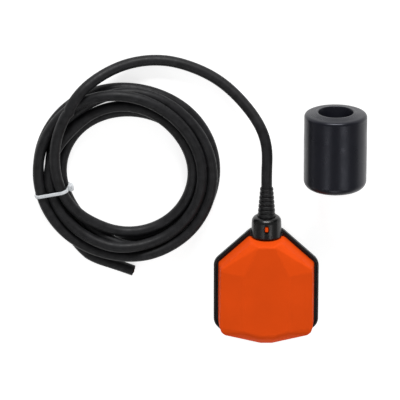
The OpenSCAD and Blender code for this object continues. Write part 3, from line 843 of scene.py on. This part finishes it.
FINISHES = {
    "orange_plastic": dict(colour=(0.66, 0.063, 0.005), rough=0.5, shift=0.05, shift_size=0.03,
                           grain_size=0.0009, IOR=1.12, Specular_IOR_Level=0.25),
    "black_plastic": dict(colour=(0.0026, 0.0028, 0.003), rough=0.27, shift=0.2, shift_size=0.01,
                          rough_shift=0.06, grain_size=0.0007, grain_depth=0.000006,
                          Specular_IOR_Level=0.33),
    "boot_rubber": dict(colour=(0.0032, 0.0032, 0.0036), rough=0.44, shift=0.25, shift_size=0.004,
                        rough_shift=0.08, grain_size=0.0004, grain_depth=0.00001, Specular_IOR_Level=0.3),
    "seal_rubber": dict(colour=(0.012, 0.012, 0.012), rough=0.75, shift=0.25, shift_size=0.004,
                        rough_shift=0.08, grain_size=0.0004, grain_depth=0.00003),
    "cable_rubber": dict(colour=(0.0072, 0.0072, 0.008), second=(0.013, 0.013, 0.0143), rough=0.5,
                         shift=0.3, shift_size=0.006, rough_shift=0.09, grain_size=0.0005,
                         Specular_IOR_Level=0.18),
    "chassis_plastic": dict(colour=(0.68, 0.67, 0.60), rough=0.45, shift=0.05, shift_size=0.008,
                            Subsurface_Weight=0.15, Subsurface_Radius=(0.002, 0.002, 0.0015)),
    "cage_plastic": dict(colour=(0.42, 0.44, 0.47), rough=0.4, shift=0.07, shift_size=0.006),
    "ball_steel": dict(colour=(0.72, 0.73, 0.75), rough=0.12, shift_size=0.004,
                       grain_size=0.0008, grain_depth=0.000003, Metallic=1.0),
    "screw_steel": dict(colour=(0.60, 0.60, 0.61), rough=0.32, shift=0.12, shift_size=0.0015,
                        rough_shift=0.1, grain_size=0.0003, grain_depth=0.00001, Metallic=1.0),
    "lever_plastic": dict(colour=(0.70, 0.48, 0.13), rough=0.4, shift_size=0.005),
    "switch_case": dict(colour=(0.016, 0.016, 0.018), rough=0.45, shift=0.2, shift_size=0.004),
    "switch_button": dict(colour=(0.48, 0.03, 0.02), rough=0.35, shift=0.1, shift_size=0.002),
    "contact_brass": dict(colour=(0.72, 0.50, 0.20), rough=0.25, shift=0.12, shift_size=0.002,
                          rough_shift=0.1, grain_size=0.0004, grain_depth=0.000008, Metallic=1.0),
    "copper": dict(colour=(0.72, 0.33, 0.18), rough=0.28, shift=0.15, shift_size=0.0008,
                   rough_shift=0.1, grain_size=0.0002, grain_depth=0.000008, Metallic=1.0),
    "brown_insulation": dict(colour=(0.10, 0.038, 0.014), rough=0.45, shift=0.15, shift_size=0.002),
    "blue_insulation": dict(colour=(0.02, 0.09, 0.36), rough=0.45, shift=0.12, shift_size=0.002),
    "black_insulation": dict(colour=(0.014, 0.014, 0.015), rough=0.45, shift=0.2, shift_size=0.002),
    "core_insulation": dict(colour=(0.10, 0.05, 0.03), rough=0.5, shift=0.15, shift_size=0.002),
    "tie_nylon": dict(colour=(0.56, 0.58, 0.60), rough=0.4, shift=0.05, shift_size=0.004,
                      rough_shift=0.06, grain_size=0.0005, grain_depth=0.00001,
                      Subsurface_Weight=0.3, Subsurface_Radius=(0.0015, 0.0015, 0.0015)),
    "weight_skin": dict(colour=(0.0044, 0.0046, 0.0074), rough=0.31, shift=0.15, shift_size=0.02,
                        grain_size=0.001, grain_depth=0.00001,
                        Specular_IOR_Level=0.26, Specular_Tint=(0.86, 0.88, 1, 1)),
    "weight_iron": dict(colour=(0.16, 0.15, 0.14), rough=0.6, shift=0.25, shift_size=0.003,
                        rough_shift=0.1, grain_size=0.0012, grain_depth=0.0002, Metallic=0.8),
}


def finish_of(slot):
    """The material of a slot, made once."""
    name = slot + "_finish"
    return bpy.data.materials.get(name) or finish(name, **FINISHES[slot])


def dress(obj, slot):
    """Gives a new piece its slot and material."""
    obj.data.materials.clear()
    obj.data.materials.append(finish_of(slot))


def place(obj, body, slot, *nodes):
    """Says what a piece rides on, what it is made of and which CAD nodes it stands for."""
    dress(obj, slot)
    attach(obj, body)
    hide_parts(*nodes)
    return obj


def dress_cad_nodes():
    """Procedural materials for the CAD nodes that stay."""
    for part in frame["record"]["subparts"]:
        obj = NODES[part["node"]]
        if not obj.material_slots:
            obj.data.materials.append(finish_of(part["material_slot"]))
        for slot in obj.material_slots:
            slot.material = finish_of(part["material_slot"])


# ---------- putting it together ----------

dress_cad_nodes()
place(make_front(), "float", "orange_plastic", "front_shell")
place(make_latch(), "float", "orange_plastic", "front_shell")
place(make_back(), "float", "black_plastic", "rear_shell")
place(make_rim(), "float", "black_plastic", "rear_shell")
place(make_collar(), "float", "black_plastic", "collar_cap")
place(make_boot(), "float", "boot_rubber", "cable_boot")
place(make_weight(), "weight", "weight_skin", "weight_shell", "weight_base")
ON_CORD = [place(piece, "cable", "tie_nylon", "cord_tie") for piece in make_tie()]
core_pieces, strands = make_cut_end()
for core_piece, core_slot in zip(core_pieces, ("brown_insulation", "blue_insulation", "black_insulation")):
    ON_CORD.append(place(core_piece, "cable", core_slot, "tail_cores"))
ON_CORD.append(place(strands, "cable", "copper", "tail_copper"))

place(cord, "cable", "cable_rubber", "cord_lead", "cord_coil", "cord_tail")
dress(bend, "cable_rubber")
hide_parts("cord_bend")
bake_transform(bend)


# ---------- floor and lights ----------

def make_stage():
    """A white floor that glows a little, just under the object, and a white world."""
    half, under = 3, 0.0005
    corners = [(-half, -half, 0), (half, -half, 0), (half, half, 0), (-half, half, 0)]
    mesh = bpy.data.meshes.new("floor")
    mesh.from_pydata(corners, [], [(0, 1, 2, 3)])
    floor = bpy.data.objects.new("floor", mesh)
    bpy.context.scene.collection.objects.link(floor)
    floor.location.z = -under
    material = bpy.data.materials.new("floor_white")
    material.use_nodes = True
    shader = material.node_tree.nodes["Principled BSDF"]
    shader.inputs["Base Color"].default_value = (0.55, 0.55, 0.55, 1)
    shader.inputs["Roughness"].default_value = 0.9
    shader.inputs["Emission Color"].default_value = (1, 1, 1, 1)
    shader.inputs["Emission Strength"].default_value = 0.72
    mesh.materials.append(material)
    world = bpy.data.worlds.new("studio")
    bpy.context.scene.world = world
    world.use_nodes = True
    background = world.node_tree.nodes["Background"]
    background.inputs["Color"].default_value = (1, 1, 1, 1)
    background.inputs["Strength"].default_value = 0.36


OBJECT_MIDDLE = Vector((-0.03, 0.07, 0.02))


def softbox(name, spot, size, power):
    """A rectangular area light that faces the middle of the object."""
    data = bpy.data.lights.new(name, "AREA")
    data.shape = "RECTANGLE"
    data.size, data.size_y = size
    data.energy = power
    light = bpy.data.objects.new(name, data)
    light.location = spot
    aim = OBJECT_MIDDLE - Vector(spot)
    light.rotation_euler = aim.to_track_quat("-Z", "Y").to_euler()
    bpy.context.scene.collection.objects.link(light)


def make_lights():
    """Two narrow boxes for the streaks along the counterweight, a strong low one and a weak high one."""
    softbox("left_box", (-0.78, -0.5, 1.25), (0.2, 0.9), 1.8)
    softbox("right_box", (0.85, -0.5, 1.3), (0.2, 0.9), 3)
    softbox("near_box", (0, 1.8, 0.8), (1.2, 0.4), 42)
    softbox("far_box", (0, -1.3, 1.3), (1.0, 0.4), 5)


make_lights()
make_stage()
bpy.context.scene.view_settings.view_transform = "Standard"
